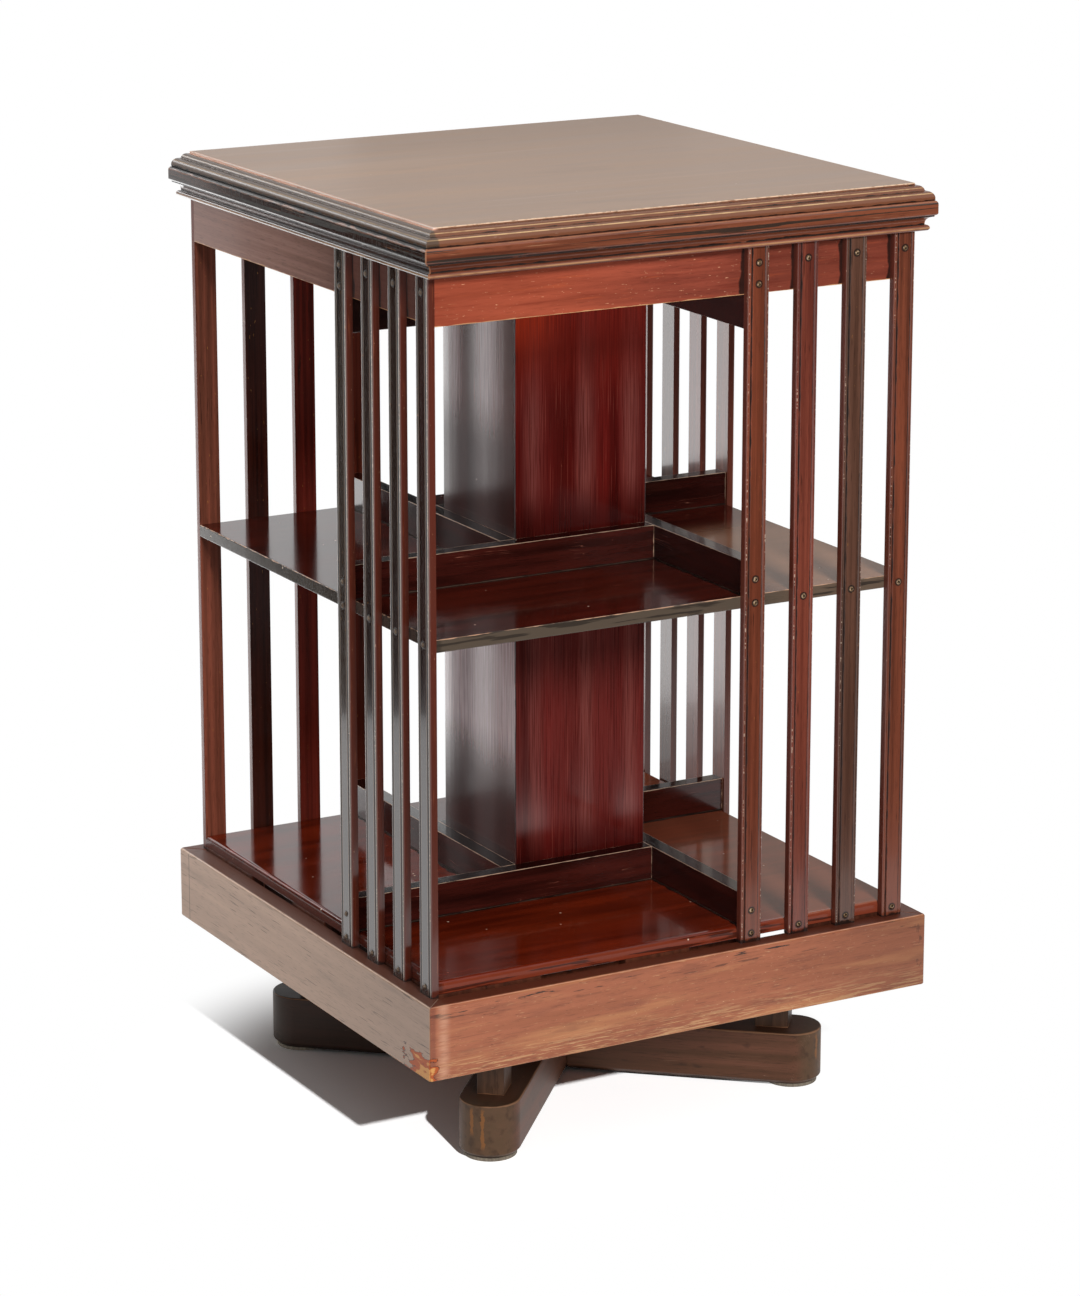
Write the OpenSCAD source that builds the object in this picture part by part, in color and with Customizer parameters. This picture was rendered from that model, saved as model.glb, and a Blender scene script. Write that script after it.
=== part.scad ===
// Revolving bookcase: a square two-tier case that turns on a post over a low cross-shaped stand.
// The floor is at z = 0 and the turning axis is the Z axis. The front of the case faces -Y.
// The four sides of the case are alike: each is the front turned by a quarter turn about Z.

/* [Case] */
// Width across two opposite edges of the shelves and of the frieze
case_w = 454; // [380:1:520]
// Clear height of the lower tier, between the two shelves
lower_tier_h = 281.5; // [200:0.5:340]
// Clear height of the upper tier, from the middle shelf to the frieze
upper_tier_h = 257.5; // [200:0.5:340]
// Thickness of the middle shelf
middle_shelf_t = 11; // [9:0.5:18]
// Rounding of the middle shelf's edge, above and below
middle_edge_r = 1; // [0.5:0.25:3]
// Thickness of the bottom shelf
bottom_shelf_t = 11; // [9:0.5:18]
// Rounding of the bottom shelf's upper edge
bottom_upper_r = 4; // [1:0.25:5]
// Rounding of the bottom shelf's lower edge
bottom_lower_r = 1; // [0.5:0.25:3]
// Height of the frieze boards, with the part that the cornice covers
frieze_h = 66.5; // [50:0.5:90]
// Thickness of the frieze boards
frieze_t = 12; // [9:0.5:18]

/* [Column] */
// Outer width of the square column in the middle
column_w = 130; // [110:1:160]
// Thickness of its boards
column_board_t = 10; // [7:0.5:14]

/* [Book stops and rails] */
// Height of the book stops that stand on both shelves
curb_h = 30; // [20:1:50]
// Thickness of the book stops and of the rails under the top
curb_t = 14.5; // [12:0.5:18]
// How far the rails under the top hang below the frieze
rail_drop = 30; // [15:1:50]

/* [Slats] */
// Slats on each side of the case
slats_per_side = 4; // [3:1:5]
// Width of a slat
slat_w = 20.5; // [16:0.5:26]
// Thickness of a slat
slat_t = 7; // [5:0.5:10]
// Radius of the bead on each front edge of a slat
slat_bead_r = 1.6; // [1:0.1:2]
// Width of the groove beside a bead
slat_groove_w = 1.4; // [0.8:0.1:2]
// Depth of the groove beside a bead
slat_groove_d = 1.2; // [0.5:0.1:2]

/* [Pins] */
// Diameter of a pin's domed head
pin_head_d = 5; // [3:0.5:7]
// Height of a pin's domed head
pin_head_h = 1.6; // [1:0.1:2.5]
// Diameter of a pin's shank
pin_shank_d = 1.8; // [1.2:0.1:2.4]
// Length of the shank beyond the slat
pin_bite = 10.5; // [6:0.5:11]
// Height of the upper row of pins above the frieze's lower edge
pin_high = 27; // [20:1:34]
// Height of the second pin of the inner slat above the frieze's lower edge
pin_low = 9; // [5:1:14]

/* [Top board] */
// Thickness of the top board
top_t = 14; // [12.5:0.5:22]
// How far the top board reaches past the case
top_overhang = 14.5; // [13.5:0.5:22]
// Height of the first step down from the flat top
top_step_h = 2; // [1:0.5:3]
// Width of the ledge below that step
top_step_w = 1.5; // [0.5:0.25:3]
// Radius of the upper quarter round
top_upper_r = 4.5; // [3:0.25:5]
// Width of the ledge between the two quarter rounds
top_ledge_w = 1; // [0.5:0.25:2]
// Radius of the lower quarter round
top_lower_r = 5.5; // [3:0.25:5.5]

/* [Cornice] */
// How far the cornice stands out from the frieze
cornice_out = 16.5; // [15:0.5:22]
// Height of the broad rounded band at the top of the cornice
band_h = 12.7; // [9:0.1:18]
// Rounding of the band's upper edge
band_upper_r = 3.2; // [1:0.1:4]
// Rounding of the band's lower edge
band_lower_r = 2.2; // [1:0.1:4]
// Height of the ledge under the band
band_ledge_h = 1.3; // [0.4:0.1:2]
// Radius of the hollow under the band
hollow_r = 6; // [4:0.25:8]
// Height of the groove between the hollow and the bead
quirk_h = 1.2; // [0.5:0.1:2]
// Diameter of the bead along the lower edge
bead_d = 4.8; // [3:0.1:6]
// How far that bead stands out from the frieze
bead_out = 11.6; // [9:0.1:13]

/* [Plinth] */
// Height of the plinth boards
plinth_h = 65; // [45:1:90]
// Thickness of the plinth boards
plinth_t = 18; // [14:0.5:22]
// Width of the ledge that the plinth leaves in front of the slats
plinth_ledge = 11; // [6:0.5:18]
// Rounding of the plinth's upper outer edge
plinth_edge_r = 2; // [1:0.25:4]
// Gap between the plinth's top and the underside of the bottom shelf
shelf_gap = 2.5; // [1:0.5:6]

/* [Glue blocks] */
// Height of the corner blocks that join the plinth to the bottom shelf
corner_block_h = 52; // [30:1:60]
// Width of a corner block along each plinth board
corner_block_w = 45; // [25:1:60]
// Height of the other blocks and of the battens
block_h = 18; // [12:1:26]
// Thickness of the other blocks and of the battens
block_t = 12; // [8:1:16]
// Length of the block next to the left corner block
left_block_l = 52; // [30:1:70]
// Length of the middle block
middle_block_l = 63; // [40:1:80]
// Gap between the left block and the middle one
block_gap = 82; // [50:1:90]
// Length of the block next to the right corner block
right_block_l = 58; // [30:1:70]
// Length of the batten that stiffens the shelf behind the blocks, from the left block
batten_l = 214; // [180:1:230]

/* [Bearings] */
// Width of the square bearer under the bottom shelf
bearer_w = 170; // [130:1:200]
// Thickness of the bearer
bearer_t = 24; // [18:1:32]
// Space round the post where it goes through the bearer and the bottom shelf
post_room = 10; // [5:0.5:14]
// Diameter of the lower collar plate
collar_d = 104; // [96:1:120]
// Thickness of the lower collar plate
collar_t = 6; // [4:0.5:10]
// Distance from the axis to the collar's screws
collar_screw_r = 43; // [40:0.5:44]
// Diameter of a collar screw's shank
collar_screw_d = 4; // [3:0.5:5]
// Diameter of a collar screw's head
collar_screw_head_d = 7.5; // [6:0.5:9]
// Length of a collar screw
collar_screw_l = 24; // [16:1:26]
// Gap all round between the post and the collar, and between the pin and the cup
running_gap = 0.05; // [0.02:0.01:0.1]
// Height of the pivot block under the top board
pivot_block_h = 45; // [30:1:60]
// Outer diameter of the pivot cup
cup_d = 34; // [26:1:46]
// Height of the pivot cup
cup_h = 15; // [12:0.5:20]
// Depth of the cup's socket
cup_depth = 11; // [8:0.5:11.5]
// Gap between the post's top and the pivot block
post_top_gap = 6; // [3:0.5:12]

/* [Stand] */
// Diameter of the post
post_d = 40; // [32:1:48]
// Diameter of the post's turned foot
post_foot_d = 62; // [52:1:76]
// Height of the post's turned foot
post_foot_h = 20; // [10:1:40]
// Diameter of the tenon that goes down through the cross
tenon_d = 28; // [20:1:30]
// How far the end of each arm lies outside the half width of the plinth
arm_past_plinth = 7; // [0:1:20]
// Width of an arm
arm_w = 53; // [48:1:64]
// Height of an arm
arm_h = 48; // [36:1:60]
// Chamfer round the underside of an arm
arm_chamfer = 4; // [1:0.5:6]
// Chamfer round the top of an arm
arm_arris = 1; // [0.5:0.25:2]
// Angle of the first arm from the case's front edge, at rest
arm_angle = 49; // [0:1:89]
// Diameter of the pads under the arms
pad_d = 46; // [30:1:47]
// Thickness of the pads
pad_t = 3; // [2:0.5:6]
// Gap between the top of the arms and the plinth's lower edge
stand_gap = 55; // [20:1:80]
// Width of a runner block, across its arm
runner_w = 24; // [18:1:30]
// Length of a runner block, along its arm
runner_l = 30; // [20:1:40]
// Gap between a runner block and the plinth as the case turns
runner_side_gap = 2.5; // [2:0.5:10]
// Height of a runner block above its arm; it ends low, so daylight passes over it
runner_h = 72; // [60:1:100]
// Diameter of the pivot pin
pin_d = 12; // [8:1:16]
// Length of the pivot pin inside the post
pin_socket_l = 40; // [25:1:60]

/* [Hidden] */
$fn = 96;
// Segments round the pins and the screws
small_fn = 48;
// Room that a tenon, a nail or a screw has all round in its hole, and the width of a glue line
glue_gap = 0.05;
// What a cutting shape reaches past the face that it cuts
over = 1;
// Larger than any piece, for the mitre cuts
far = 600;
// Gap between the pin's tip and the floor of the cup's socket
tip_gap = 0.05;
// Angle through which a slat's bead runs from the edge down into its groove
bead_turn = 150;

SIDES = ["front", "right", "back", "left"];
SLATS = [for (s = SIDES, n = [1 : slats_per_side]) str("slat_", s, "_", n)];

// Half widths, measured from the axis
case_half = case_w / 2;
column_half = column_w / 2;
column_inner = column_half - column_board_t;
plinth_half = case_half + slat_t + plinth_ledge;
plinth_inner = plinth_half - plinth_t;
arm_reach = plinth_half + arm_past_plinth;

// Heights above the floor, from below upwards
arm_z = pad_t;
arm_top = arm_z + arm_h;
plinth_z = arm_top + stand_gap;
plinth_top = plinth_z + plinth_h;
bottom_shelf_z = plinth_top + shelf_gap;
bottom_shelf_top = bottom_shelf_z + bottom_shelf_t;
middle_shelf_z = bottom_shelf_top + lower_tier_h;
middle_shelf_top = middle_shelf_z + middle_shelf_t;
frieze_z = middle_shelf_top + upper_tier_h;
top_z = frieze_z + frieze_h;
block_z = bottom_shelf_z - block_h;
bearer_z = bottom_shelf_z - bearer_t;
collar_z = bearer_z - collar_t;
pivot_z = top_z - pivot_block_h;
post_top = pivot_z - post_top_gap;
pin_top = pivot_z + cup_depth - tip_gap;

// Slats and their pins
slat_first = column_half + curb_t / 2;
slat_last = case_half - slat_w / 2;
slat_step = (slat_last - slat_first) / (slats_per_side - 1);
cornice_h = bead_d + quirk_h + hollow_r + band_ledge_h + band_h;
cornice_z = top_z - cornice_h;
slat_h = cornice_z - plinth_top;
bottom_pin_z = bottom_shelf_z + bottom_shelf_t / 2;
bottom_curb_pin_z = bottom_shelf_top + curb_h / 2;
middle_pin_z = middle_shelf_z + middle_shelf_t / 2;
middle_curb_pin_z = middle_shelf_top + curb_h / 2;
upper_pin_z = frieze_z + pin_high;
second_pin_z = frieze_z + pin_low;
// Every slat is pinned at three heights, and the inner one at three more
slat_pin_zs = [bottom_pin_z, middle_pin_z, upper_pin_z];
inner_pin_zs = [bottom_curb_pin_z, middle_curb_pin_z, second_pin_z];

// Runner blocks, whose outer corners turn inside the plinth
runner_corner_r = plinth_inner - runner_side_gap;
runner_reach = sqrt(runner_corner_r ^ 2 - (runner_w / 2) ^ 2);

wood = "#7c3324";
dark_wood = "#4f3026";
brass = "#b08a45";
steel = "#8c8f94";

// Points on an arc about c, from angle a to angle b
function arc(c, r, a, b, n = 6) =
    [for (i = [0 : n]) let (angle = a + (b - a) * i / n) c + r * [cos(angle), sin(angle)]];

// The right half of an outline, closed by its own mirror image on the left
function both_halves(right) =
    concat(right, [for (i = [len(right) - 1 : -1 : 0]) [-right[i].x, right[i].y]]);

// Middle of the slat numbered n, from the middle of its side
function slat_x(n) = slat_first + (n - 1) * slat_step;

function pin_zs(n) = n == 1 ? concat(slat_pin_zs, inner_pin_zs) : slat_pin_zs;

function plain_section(t, h) = [[0, 0], [t, 0], [t, h], [0, h]];

// Turns a piece of the front to the side numbered s
module on_side(s) {
    rotate([0, 0, 90 * s]) children();
}

// A straight length on the front whose section runs outwards and up, mitred at both ends
module mitred_length(section, inner, z) {
    intersection() {
        translate([0, -inner, z])
            rotate([90, 0, -90])
                linear_extrude(height = 2 * far, center = true) polygon(section);
        linear_extrude(height = 2 * far) polygon([[0, 0], [-far, -far], [far, -far]]);
    }
}

// A square board with the same section along all four edges
module edged_board(section, z) {
    translate([0, 0, z])
        intersection_for(a = [0, 90])
            rotate([0, 0, a])
                rotate([90, 0, 0])
                    linear_extrude(height = 2 * far, center = true) polygon(both_halves(section));
}

// Half of a board's section with its two edges rounded, from the lower face to the upper
function rounded_edge(half, t, lower_r, upper_r) = concat(
    arc([half - lower_r, lower_r], lower_r, -90, 0),
    arc([half - upper_r, t - upper_r], upper_r, 0, 90)
);

// Half of the top board's section: two quarter rounds with a ledge between, and a step to the flat top
function top_section() =
    let (
        tip = case_half + top_overhang,
        step_z = top_t - top_step_h,
        lower = [tip - top_lower_r, step_z - top_upper_r - top_lower_r],
        upper = [lower.x - top_ledge_w - top_upper_r, step_z - top_upper_r],
        step_x = upper.x - top_step_w
    )
    concat(
        [[tip, 0]],
        arc(lower, top_lower_r, 0, 90),
        arc(upper, top_upper_r, 0, 90),
        [[step_x, step_z], [step_x, top_t]]
    );

// The cornice's section from the frieze outwards: the bead, the hollow and the band above them
function cornice_section() =
    let (
        bead = [bead_out - bead_d / 2, bead_d / 2],
        hollow = [cornice_out - band_lower_r, bead_d + quirk_h],
        band_lower = [cornice_out - band_lower_r, cornice_h - band_h + band_lower_r],
        band_upper = [cornice_out - band_upper_r, cornice_h - band_upper_r]
    )
    concat(
        [[0, 0]],
        arc(bead, bead_d / 2, -90, 90, 8),
        [[hollow.x - hollow_r, bead_d]],
        arc(hollow, hollow_r, 180, 90),
        arc(band_lower, band_lower_r, -90, 0),
        arc(band_upper, band_upper_r, 0, 90),
        [[0, cornice_h]]
    );

// A slat's section: the flat back at y = 0, beads and grooves on the front
function slat_section() =
    let (half = slat_w / 2, groove = half - 2 * slat_bead_r)
    both_halves(concat(
        [[half, 0]],
        arc([half - slat_bead_r, slat_t - slat_bead_r], slat_bead_r, 0, bead_turn),
        [[groove - slat_groove_w / 2, slat_t - slat_groove_d], [groove - slat_groove_w, slat_t]]
    ));

// Puts a pin or its hole at a place on the front: x along the side, z above the floor
module at_pin(x, z) {
    translate([x, -case_half - slat_t, z]) rotate([-90, 0, 0]) children();
}

module pin_hole() {
    translate([0, 0, -over])
        cylinder(d = pin_shank_d + 2 * glue_gap, h = over + slat_t + pin_bite + glue_gap, $fn = small_fn);
}

module slat_pin() {
    dome_r = ((pin_head_d / 2) ^ 2 + pin_head_h ^ 2) / (2 * pin_head_h);
    intersection() {
        translate([0, 0, dome_r - pin_head_h]) sphere(r = dome_r, $fn = small_fn);
        translate([0, 0, -pin_head_h]) cylinder(d = pin_head_d, h = pin_head_h, $fn = small_fn);
    }
    cylinder(d = pin_shank_d, h = slat_t + pin_bite, $fn = small_fn);
}

// All the pin holes at the given heights through every slat of the front
module pin_row(z) {
    for (n = [1 : slats_per_side]) at_pin(slat_x(n), z) pin_hole();
}

// Stand

module arm_section_half() {
    polygon([
        [0, 0], [arm_w / 2 - arm_chamfer, 0], [arm_w / 2, arm_chamfer],
        [arm_w / 2, arm_h - arm_arris], [arm_w / 2 - arm_arris, arm_h], [0, arm_h]
    ]);
}

// A beam of the cross along X: a straight middle and two round ends
module beam_blank() {
    middle = arm_reach - arm_w / 2;
    rotate([90, 0, 90])
        linear_extrude(height = 2 * middle, center = true)
            union() {
                arm_section_half();
                mirror([1, 0]) arm_section_half();
            }
    for (side = [-1, 1])
        translate([side * middle, 0, 0]) rotate_extrude() arm_section_half();
}

// One beam of the cross, lapped over half its height: the lower beam is cut from above
module foot_beam(angle, cut_z) {
    color(dark_wood)
        translate([0, 0, arm_z])
            difference() {
                rotate([0, 0, angle]) beam_blank();
                rotate([0, 0, angle])
                    translate([-arm_w / 2, -arm_w / 2 - over, cut_z])
                        cube([arm_w, arm_w + 2 * over, arm_h / 2 + over]);
                translate([0, 0, -over]) cylinder(d = tenon_d + 2 * glue_gap, h = arm_h + 2 * over);
            }
}

module foot_beam_lower() {
    foot_beam(arm_angle, arm_h / 2);
}

module foot_beam_upper() {
    foot_beam(arm_angle + 90, -over);
}

module foot_pads() {
    color("#b9a58c")
        for (a = [0 : 90 : 270])
            rotate([0, 0, arm_angle + a])
                translate([arm_reach - arm_w / 2, 0, 0]) cylinder(d = pad_d, h = pad_t);
}

module runner_blocks() {
    color(dark_wood)
        for (a = [0 : 90 : 270])
            rotate([0, 0, arm_angle + a])
                translate([runner_reach - runner_l, -runner_w / 2, arm_top])
                    cube([runner_l, runner_w, runner_h]);
}

module post() {
    color(dark_wood)
        difference() {
            union() {
                translate([0, 0, arm_z]) cylinder(d = tenon_d, h = arm_h + over);
                translate([0, 0, arm_top]) cylinder(d = post_foot_d, h = post_foot_h);
                translate([0, 0, arm_top]) cylinder(d = post_d, h = post_top - arm_top);
            }
            translate([0, 0, post_top - pin_socket_l])
                cylinder(d = pin_d + 2 * glue_gap, h = pin_socket_l + over);
        }
}

module pivot_pin() {
    color(steel)
        union() {
            translate([0, 0, post_top - pin_socket_l])
                cylinder(d = pin_d, h = pin_top - pin_d / 2 - post_top + pin_socket_l);
            translate([0, 0, pin_top - pin_d / 2]) sphere(d = pin_d);
        }
}

// Case

module top_board() {
    color(wood) edged_board(top_section(), top_z);
}

module cornice(s) {
    color(wood) on_side(s) mitred_length(cornice_section(), case_half, cornice_z);
}

// The outer pins go through the mitre, so each frieze also has the holes of the side to its left
module frieze(s) {
    color(wood)
        on_side(s)
            difference() {
                mitred_length(plain_section(frieze_t, frieze_h), case_half - frieze_t, frieze_z);
                for (side = [-1, 0]) on_side(side) pin_row(upper_pin_z);
                at_pin(slat_x(1), second_pin_z) pin_hole();
            }
}

// A board on edge that runs from the case's left edge along the column to the next such board
module pinwheel_board(z, h) {
    translate([-case_half, -column_half - curb_t, z]) cube([case_half + column_half, curb_t, h]);
}

// The rail is notched at its outer end, so that it goes under the frieze to the inner slat
module top_rail(s) {
    color(wood)
        on_side(s)
            difference() {
                pinwheel_board(frieze_z - rail_drop, rail_drop + frieze_h);
                translate([-case_half - over, -column_half - curb_t - over, frieze_z])
                    cube([over + frieze_t, curb_t + 2 * over, frieze_h + over]);
            }
}

// A book stop, with the hole for the pin that comes through the inner slat of the side to its left
module curb(s, z, pin_z) {
    color(wood)
        on_side(s)
            difference() {
                pinwheel_board(z, curb_h);
                rotate([0, 0, -90]) at_pin(slat_x(1), pin_z) pin_hole();
            }
}

module slat(s, n) {
    color(wood)
        on_side(s)
            difference() {
                translate([slat_x(n), -case_half, plinth_top])
                    mirror([0, 1, 0]) linear_extrude(height = slat_h) polygon(slat_section());
                for (z = pin_zs(n)) at_pin(slat_x(n), z) pin_hole();
            }
}

module slat_pins() {
    color(brass)
        for (s = [0 : 3], n = [1 : slats_per_side], z = pin_zs(n))
            on_side(s) at_pin(slat_x(n), z) slat_pin();
}

module middle_shelf() {
    section = rounded_edge(case_half, middle_shelf_t, middle_edge_r, middle_edge_r);
    color(wood)
        difference() {
            edged_board(section, middle_shelf_z);
            translate([-column_half, -column_half, middle_shelf_z - over])
                cube([column_w, column_w, middle_shelf_t + 2 * over]);
            for (s = [0 : 3]) on_side(s) pin_row(middle_pin_z);
        }
}

module bottom_shelf() {
    section = rounded_edge(case_half, bottom_shelf_t, bottom_lower_r, bottom_upper_r);
    color(wood)
        difference() {
            edged_board(section, bottom_shelf_z);
            translate([0, 0, bottom_shelf_z - over])
                cylinder(d = post_d + 2 * post_room, h = bottom_shelf_t + 2 * over);
            for (s = [0 : 3]) on_side(s) pin_row(bottom_pin_z);
        }
}

module column(s) {
    section = plain_section(column_board_t, top_z - bottom_shelf_top);
    color(wood) on_side(s) mitred_length(section, column_inner, bottom_shelf_top);
}

module plinth(s) {
    section = concat(
        [[0, 0], [plinth_t, 0]],
        arc([plinth_t - plinth_edge_r, plinth_h - plinth_edge_r], plinth_edge_r, 0, 90),
        [[0, plinth_h]]
    );
    color(wood) on_side(s) mitred_length(section, plinth_inner, plinth_z);
}

// A block or a batten along the front that starts at x, a given way behind the plinth
module block_length(x, l, back) {
    translate([x, -plinth_inner + back, block_z]) cube([l, block_t, block_h]);
}

// The pieces of one side: the corner block, three blocks along the plinth, and the batten behind them
module side_blocks() {
    left = -plinth_inner + corner_block_w + glue_gap;
    batten = left + left_block_l;
    translate([-plinth_inner, -plinth_inner, bottom_shelf_z - corner_block_h])
        linear_extrude(height = corner_block_h)
            polygon([[0, 0], [corner_block_w, 0], [0, corner_block_w]]);
    block_length(left, left_block_l, 0);
    block_length(batten + block_gap, middle_block_l, 0);
    block_length(-left - right_block_l, right_block_l, 0);
    block_length(batten, batten_l, block_t + glue_gap);
}

module glue_blocks() {
    color(dark_wood) for (s = [0 : 3]) on_side(s) side_blocks();
}

module bearer() {
    color(dark_wood)
        difference() {
            translate([-bearer_w / 2, -bearer_w / 2, bearer_z]) cube([bearer_w, bearer_w, bearer_t]);
            translate([0, 0, bearer_z - over])
                cylinder(d = post_d + 2 * post_room, h = bearer_t + 2 * over);
            collar_screw_places() collar_screw(glue_gap);
        }
}

// Four places round the collar, on its underside, with the screws pointing up
module collar_screw_places() {
    for (a = [45 : 90 : 315])
        rotate([0, 0, a]) translate([collar_screw_r, 0, collar_z]) children();
}

// A countersunk screw, or its hole when it is made larger all round
module collar_screw(room = 0) {
    shank_d = collar_screw_d + 2 * room;
    head_d = collar_screw_head_d + 2 * room;
    cylinder(d = shank_d, h = collar_screw_l + room, $fn = small_fn);
    cylinder(d1 = head_d, d2 = shank_d, h = (head_d - shank_d) / 2, $fn = small_fn);
}

module lower_collar() {
    color(brass)
        difference() {
            translate([0, 0, collar_z]) cylinder(d = collar_d, h = collar_t);
            translate([0, 0, collar_z - over])
                cylinder(d = post_d + 2 * running_gap, h = collar_t + 2 * over);
            collar_screw_places() collar_screw(glue_gap);
        }
}

module collar_screws() {
    color(brass) collar_screw_places() collar_screw();
}

module pivot_block() {
    color(dark_wood)
        difference() {
            translate([-column_inner, -column_inner, pivot_z])
                cube([2 * column_inner, 2 * column_inner, pivot_block_h]);
            translate([0, 0, pivot_z - over]) cylinder(d = cup_d + 2 * glue_gap, h = cup_h + over);
        }
}

module pivot_cup() {
    color(brass)
        translate([0, 0, pivot_z])
            difference() {
                cylinder(d = cup_d, h = cup_h);
                translate([0, 0, -over]) cylinder(d = pin_d + 2 * running_gap, h = cup_depth + over);
            }
}

foot_beam_lower();
foot_beam_upper();
foot_pads();
runner_blocks();
post();
pivot_pin();
top_board();
for (s = [0 : 3]) {
    cornice(s);
    frieze(s);
    top_rail(s);
    curb(s, middle_shelf_top, middle_curb_pin_z);
    curb(s, bottom_shelf_top, bottom_curb_pin_z);
    column(s);
    plinth(s);
    for (n = [1 : slats_per_side])
        slat(s, n);
}
slat_pins();
middle_shelf();
bottom_shelf();
glue_blocks();
bearer();
pivot_block();
pivot_cup();
lower_collar();
collar_screws();
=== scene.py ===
# %% [markdown]
# # A revolving bookcase, finished in Blender
# The construction of the bookcase is already there: every board, slat, pin and bearing is a solid
# at its real size. This lesson gives that model its looks, which means a camera, a studio, softened
# arrises and one old varnished wood after another. All lengths are metres, +Z is up, the floor is
# z = 0 and the case turns about the Z axis. The front of the case faces -Y.

import math

import bpy
from mathutils import Matrix, Vector


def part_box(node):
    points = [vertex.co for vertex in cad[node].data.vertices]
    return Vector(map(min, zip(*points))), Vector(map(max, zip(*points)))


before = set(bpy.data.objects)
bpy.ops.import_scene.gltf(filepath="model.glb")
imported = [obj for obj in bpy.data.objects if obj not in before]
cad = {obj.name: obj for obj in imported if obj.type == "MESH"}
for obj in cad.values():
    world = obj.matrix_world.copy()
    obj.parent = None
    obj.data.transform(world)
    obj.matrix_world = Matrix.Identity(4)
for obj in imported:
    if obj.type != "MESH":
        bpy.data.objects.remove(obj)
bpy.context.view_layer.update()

# %% [markdown]
# ## The camera
# A camera is matched to a photograph by solving where it stood: its place, the way it looks and how
# long its lens is. This one stood 3.6 m away with a long lens, half a metre above the top of the
# case. The picture was cropped a little below the lens axis, which keeps the uprights more upright.
# In Blender that crop is the lens shift, measured in shares of the picture's long side.

# %% Camera
PICTURE_H = 1296
EYE = Vector((-1.7934, -3.1949, 1.3885))
LOOK_AZIMUTH = math.radians(-29.253)
LOOK_DOWN = math.radians(13.863)
FOCAL_PIXELS = 4298.1
AXIS_ROW = 540


def direction(azimuth, elevation):
    """The unit vector from the object towards a place at that azimuth, seen from above the front."""
    flat = math.cos(elevation)
    return Vector((math.sin(azimuth) * flat, -math.cos(azimuth) * flat, math.sin(elevation)))


lens = bpy.data.cameras.new("camera")
lens.lens = FOCAL_PIXELS / PICTURE_H * lens.sensor_width
lens.shift_y = (AXIS_ROW - PICTURE_H / 2) / PICTURE_H
camera = bpy.data.objects.new("camera", lens)
camera.location = EYE
camera.rotation_euler = (-direction(LOOK_AZIMUTH, LOOK_DOWN)).to_track_quat("-Z", "Y").to_euler()
bpy.context.scene.collection.objects.link(camera)
bpy.context.scene.camera = camera
bpy.context.scene.view_settings.view_transform = "Standard"
print("lens:", round(lens.lens, 1), "mm, shift:", round(lens.shift_y, 3))

# %% [markdown]
# ## Shader nodes as expressions
# A wood finish is mostly arithmetic: how far is this point from an arris, is it inside a pore, how
# much polish is left here. Drawing that with a hundred Math nodes by hand is slow and hard to read.
# So one small class wraps an output socket and takes the usual operators. Each operator adds the
# Math node that does it, and `1 - worn` reads as what it means. A second class holds the node tree
# and has the one method that adds any other node.

# %% A socket that takes operators
class Value:
    """A number that changes over a surface: one output socket in a tree of shader nodes."""

    def __init__(self, tree, socket):
        self.tree = tree
        self.socket = socket

    def math(self, operation, *inputs):
        return self.tree.add("ShaderNodeMath", {"operation": operation}, dict(enumerate(inputs)))

    def __add__(self, other):
        return self.math("ADD", self, other)

    def __sub__(self, other):
        return self.math("SUBTRACT", self, other)

    def __rsub__(self, other):
        return self.math("SUBTRACT", other, self)

    def __mul__(self, other):
        return self.math("MULTIPLY", self, other)

    def __truediv__(self, other):
        return self.math("DIVIDE", self, other)

    def __rtruediv__(self, other):
        return self.math("DIVIDE", other, self)

    def __pow__(self, other):
        return self.math("POWER", self, other)

    def __rpow__(self, other):
        return self.math("POWER", other, self)

    def __abs__(self):
        return self.math("ABSOLUTE", self)

    def __gt__(self, other):
        return self.math("GREATER_THAN", self, other)

    __radd__ = __add__
    __rmul__ = __mul__

    def least(self, other):
        return self.math("MINIMUM", self, other)

    def most(self, other):
        return self.math("MAXIMUM", self, other)

    def rise(self, low, high):
        """0 up to low, 1 from high on, and smooth between. It falls instead where low is above high."""
        settings = {"interpolation_type": "SMOOTHSTEP"}
        return self.tree.add(
            "ShaderNodeMapRange", settings, {"Value": self, "From Min": low, "From Max": high}
        )


methods = [name.strip("_") for name, method in vars(Value).items() if callable(method)]
print("what a socket can do:", ", ".join(methods))

# %% A tree of nodes
MIX_SHARE, MIX_FIRST, MIX_SECOND, MIX_RESULT = 0, 6, 7, 2


class Tree:
    """The shader nodes of one material or world."""

    def __init__(self, owner):
        owner.use_nodes = True
        self.nodes = owner.node_tree.nodes
        self.links = owner.node_tree.links
        self.nodes.clear()

    def add(self, kind, settings=None, inputs=None, output=0):
        """Adds a node: first its settings, then the values or links of its inputs."""
        node = self.nodes.new(kind)
        for name, setting in (settings or {}).items():
            setattr(node, name, setting)
        for name, given in (inputs or {}).items():
            if isinstance(given, Value):
                self.links.new(given.socket, node.inputs[name])
            else:
                node.inputs[name].default_value = given
        return Value(self, node.outputs[output]) if node.outputs else None

    def mix(self, share, first, second):
        """A colour between two colours: the first where share is 0, the second where it is 1."""
        inputs = {MIX_SHARE: share, MIX_FIRST: first, MIX_SECOND: second}
        return self.add("ShaderNodeMix", {"data_type": "RGBA"}, inputs, MIX_RESULT)


# %% Colours and distances
def levels(code):
    """The red, green and blue of a hexadecimal screen colour, 0 to 255."""
    return [int(code[i:i + 2], 16) for i in (1, 3, 5)]


def colour(code):
    """The linear colour that renders as a hexadecimal screen colour."""
    screen = [level / 255 for level in levels(code)]
    return [c / 12.92 if c < 0.04045 else ((c + 0.055) / 1.055) ** 2.4 for c in screen] + [1.0]


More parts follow.
